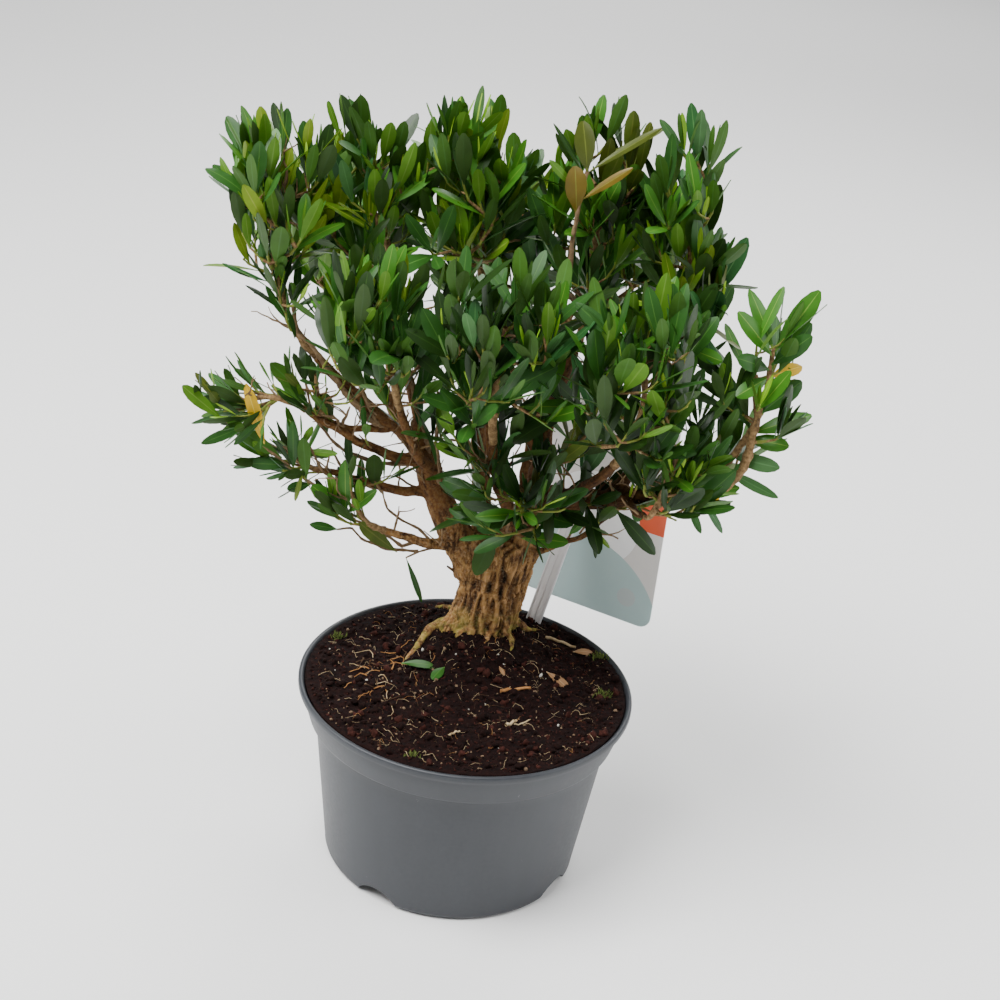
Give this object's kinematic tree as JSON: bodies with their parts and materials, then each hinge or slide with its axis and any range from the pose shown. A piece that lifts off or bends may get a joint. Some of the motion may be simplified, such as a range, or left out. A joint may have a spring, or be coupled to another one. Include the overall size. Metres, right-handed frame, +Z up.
{
  "type": "potted boxwood bonsai",
  "caption": "Small-leaved boxwood trained as a bonsai, with a thick forked trunk and an open crown of foliage masses, standing in a round tapered nursery pot.",
  "frame": {"origin": "centre of the pot's flat underside", "axes": "+Z up along the pot's axis; +Y away from the side with the most open view of the trunk, so the trunk stands towards +Y in the pot; +X to the right in that view"},
  "size_m": [0.3041, 0.2331, 0.3923],
  "materials": {
    "pot": "satin",
    "soil": "matte",
    "bark": "matte",
    "foliage": "satin",
    "label_lance": "gloss",
    "label_card": "satin"
  },
  "bodies": {
    "root": {"pot": "pot", "soil": "soil", "trunk": "bark", "limb_left": "bark", "limb_right": "bark", "limb_middle": "bark", "bough_upper_left": "bark", "bough_top_left": "bark", "bough_far_left": "bark", "bough_low_left": "bark", "bough_under_left": "bark", "bough_mid_left": "bark", "bough_front_left": "bark", "bough_right": "bark", "bough_top_right": "bark", "bough_front_right": "bark", "bough_far_right": "bark", "bough_low_right": "bark", "bough_under_right": "bark", "bough_centre_front": "bark", "bough_low_front": "bark", "bough_back_left": "bark", "bough_back_centre": "bark", "bough_back_right": "bark", "foliage_upper_left": "foliage", "foliage_top_left": "foliage", "foliage_top_centre": "foliage", "foliage_top_right": "foliage", "foliage_far_right": "foliage", "foliage_right": "foliage", "foliage_low_right": "foliage", "foliage_under_right": "foliage", "foliage_front_right": "foliage", "foliage_centre_front": "foliage", "foliage_low_front": "foliage", "foliage_front_left": "foliage", "foliage_mid_left": "foliage", "foliage_far_left": "foliage", "foliage_low_left": "foliage", "foliage_under_left": "foliage", "foliage_back_left": "foliage", "foliage_back_centre": "foliage", "foliage_back_right": "foliage", "label_lance": "label_lance", "label_card": "label_card"}
  },
  "joints": []
}
